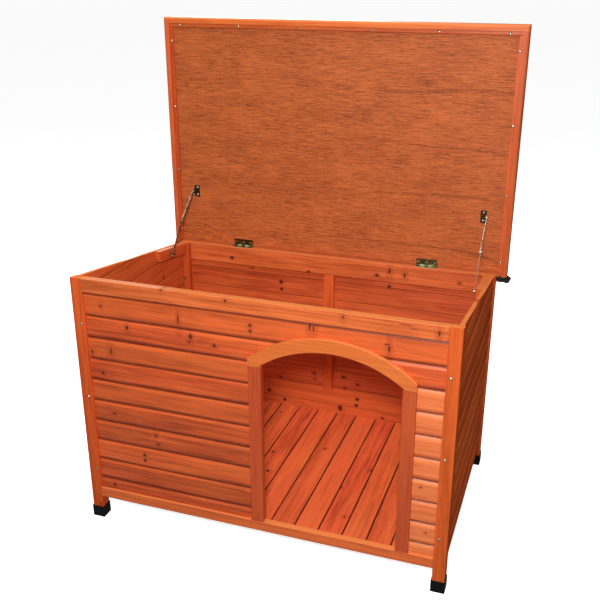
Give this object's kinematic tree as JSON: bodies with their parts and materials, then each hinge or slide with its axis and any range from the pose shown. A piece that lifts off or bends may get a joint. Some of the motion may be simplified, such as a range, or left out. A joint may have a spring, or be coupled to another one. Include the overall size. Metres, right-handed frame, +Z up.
{
  "type": "dog kennel",
  "caption": "Flat-roofed wooden dog kennel with log-profile walls, an arched doorway and a hinged lid that stands open on folding stays.",
  "frame": {"origin": "on the ground, under the middle of the bounding box with the lid open", "axes": "+X to the kennel's right seen from the door, +Y from the door wall to the back wall, +Z up"},
  "size_m": [1.152, 0.735, 1.4341],
  "materials": {
    "frame_timber": "satin red-orange glaze on pine",
    "board_timber": "satin red-orange glaze on knotty pine",
    "trim_timber": "satin honey-orange glaze on pine",
    "floor_timber": "satin red-orange glaze on pine",
    "deck_timber": "plain pine, covered",
    "plywood_lining": "matt brown-orange glaze on plywood",
    "cap_plastic": "black moulded plastic",
    "roofing_felt": "black mineral roofing felt",
    "plated_steel": "yellow passivated zinc plate",
    "bright_steel": "bright zinc plate"
  },
  "bodies": {
    "kennel": {"leg_front_left": "frame_timber", "leg_front_right": "frame_timber", "leg_back_left": "frame_timber", "leg_back_right": "frame_timber", "foot_cap_front_left": "cap_plastic", "foot_cap_front_right": "cap_plastic", "foot_cap_back_left": "cap_plastic", "foot_cap_back_right": "cap_plastic", "corner_batten_front_left": "frame_timber", "corner_batten_front_right": "frame_timber", "corner_batten_back_left": "frame_timber", "corner_batten_back_right": "frame_timber", "front_top_rail": "frame_timber", "front_sill": "trim_timber", "door_jamb_left": "trim_timber", "door_jamb_right": "trim_timber", "door_arch": "trim_timber", "front_board_top": "board_timber", "front_boards_beside_arch": "board_timber", "front_boards_left": "board_timber", "front_boards_right": "board_timber", "side_boards_left": "board_timber", "side_boards_right": "board_timber", "stay_cleat_left": "frame_timber", "stay_cleat_right": "frame_timber", "back_top_rail": "frame_timber", "back_boards": "board_timber", "back_centre_stile": "frame_timber", "floor_boards": "floor_timber", "floor_bearers": "floor_timber", "floor_ledgers": "floor_timber", "hinge_rail_leaves": "plated_steel", "hinge_pins": "plated_steel", "stay_lower_bracket_left": "plated_steel", "stay_lower_bracket_right": "plated_steel", "stay_lower_pivot_rivets": "bright_steel", "corner_bolts": "bright_steel", "corner_bolt_nuts": "bright_steel", "cabinet_screws": "bright_steel"},
    "lid": {"lid_fascia_front": "frame_timber", "lid_fascia_left": "frame_timber", "lid_fascia_right": "frame_timber", "lid_batten_front": "frame_timber", "lid_batten_left": "frame_timber", "lid_batten_right": "frame_timber", "lid_lining": "plywood_lining", "lid_deck": "deck_timber", "lid_rear_rail": "deck_timber", "lid_roofing_felt": "roofing_felt", "hinge_lid_leaves": "plated_steel", "stay_upper_bracket_left": "plated_steel", "stay_upper_bracket_right": "plated_steel", "stay_upper_pivot_rivets": "bright_steel", "lid_screws": "bright_steel"},
    "stay_left_lower": {"stay_lower_arm_left": "bright_steel", "stay_elbow_rivet_left": "bright_steel"},
    "stay_left_upper": {"stay_upper_arm_left": "bright_steel"},
    "stay_right_lower": {"stay_lower_arm_right": "bright_steel", "stay_elbow_rivet_right": "bright_steel"},
    "stay_right_upper": {"stay_upper_arm_right": "bright_steel"}
  },
  "joints": [
    {"name": "lid_hinge", "type": "hinge", "parent": "kennel", "child": "lid", "pos_m": [0, 0.344, 0.6846], "axis": [1, 0, 0], "range_deg": [0, 81.75]},
    {"name": "stay_left_lower_pivot", "type": "hinge", "parent": "kennel", "child": "stay_left_lower", "pos_m": [-0.50125, 0.161, 0.6855], "axis": [1, 0, 0], "range_deg": [0, 120.97]},
    {"name": "stay_left_upper_pivot", "type": "hinge", "parent": "lid", "child": "stay_left_upper", "pos_m": [-0.49925, 0.337, 0.8645], "axis": [1, 0, 0], "range_deg": [-119.95, 0]},
    {"name": "stay_right_lower_pivot", "type": "hinge", "parent": "kennel", "child": "stay_right_lower", "pos_m": [0.50125, 0.161, 0.6855], "axis": [1, 0, 0], "range_deg": [0, 120.97]},
    {"name": "stay_right_upper_pivot", "type": "hinge", "parent": "lid", "child": "stay_right_upper", "pos_m": [0.49925, 0.337, 0.8645], "axis": [1, 0, 0], "range_deg": [-119.95, 0]}
  ],
  "couplings": [
    {"joint": "stay_left_lower_pivot", "follows": "lid_hinge", "ratio": 1.4791},
    {"joint": "stay_left_upper_pivot", "follows": "lid_hinge", "ratio": -1.4667},
    {"joint": "stay_right_lower_pivot", "follows": "lid_hinge", "ratio": 1.4791},
    {"joint": "stay_right_upper_pivot", "follows": "lid_hinge", "ratio": -1.4667}
  ]
}
